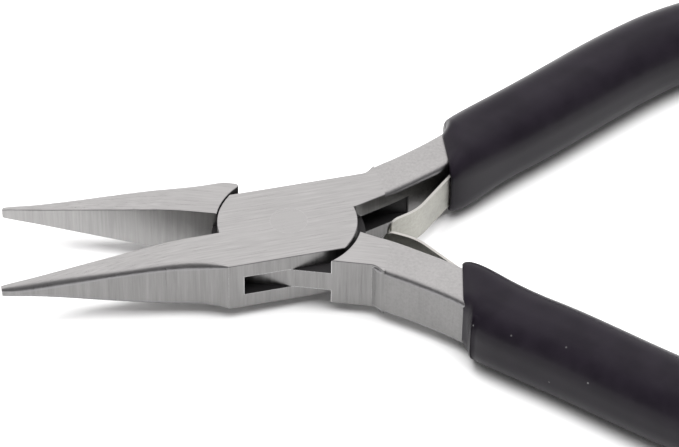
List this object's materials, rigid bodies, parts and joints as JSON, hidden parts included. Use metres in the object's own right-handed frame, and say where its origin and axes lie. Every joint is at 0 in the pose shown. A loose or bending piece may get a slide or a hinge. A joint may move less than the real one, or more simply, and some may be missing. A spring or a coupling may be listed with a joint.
{
  "type": "chain-nose pliers",
  "caption": "Small jewellery pliers with flat tapering jaws, a box joint, leaf springs between the handles and dipped vinyl grips.",
  "frame": {"origin": "on the pivot axis, on the joint's lower ground face", "axes": "+X along the tool's centre line towards the handles, +Z along the pivot axis, jaws towards -X, the box half's handle on +Y"},
  "size_m": [0.1218, 0.1002, 0.0112],
  "materials": {
    "forged_steel": "satin, ground faces with fine brushing",
    "pin_steel": "ground flush",
    "spring_steel": "dull, rolled strip",
    "grip_vinyl": "dipped, soft gloss"
  },
  "bodies": {
    "box_side": {"box_half": "forged_steel", "pivot_pin": "pin_steel", "grip_upper": "grip_vinyl", "spring_rivet_upper": "pin_steel"},
    "web_side": {"web_half": "forged_steel", "grip_lower": "grip_vinyl", "spring_rivet_lower": "pin_steel"},
    "upper_leaf": {"leaf_spring_upper": "spring_steel"},
    "lower_leaf": {"leaf_spring_lower": "spring_steel"}
  },
  "joints": [
    {"name": "pivot", "type": "hinge", "parent": "box_side", "child": "web_side", "pos_m": [0, 0, 0.0038], "axis": [0, 0, 1], "range_deg": [-8, 22.07], "stiffness_Nm_per_rad": 0.6},
    {"name": "upper_leaf_bend", "type": "hinge", "parent": "box_side", "child": "upper_leaf", "pos_m": [0.02448, 0.01128, 0.0038], "axis": [0, 0, 1], "range_deg": [-10.64, 3.89]},
    {"name": "lower_leaf_bend", "type": "hinge", "parent": "web_side", "child": "lower_leaf", "pos_m": [0.02448, -0.01128, 0.0038], "axis": [0, 0, 1], "range_deg": [-2.53, 6.89]}
  ],
  "couplings": [
    {"joint": "upper_leaf_bend", "follows": "pivot", "ratio": -0.48},
    {"joint": "lower_leaf_bend", "follows": "pivot", "ratio": 0.31}
  ]
}
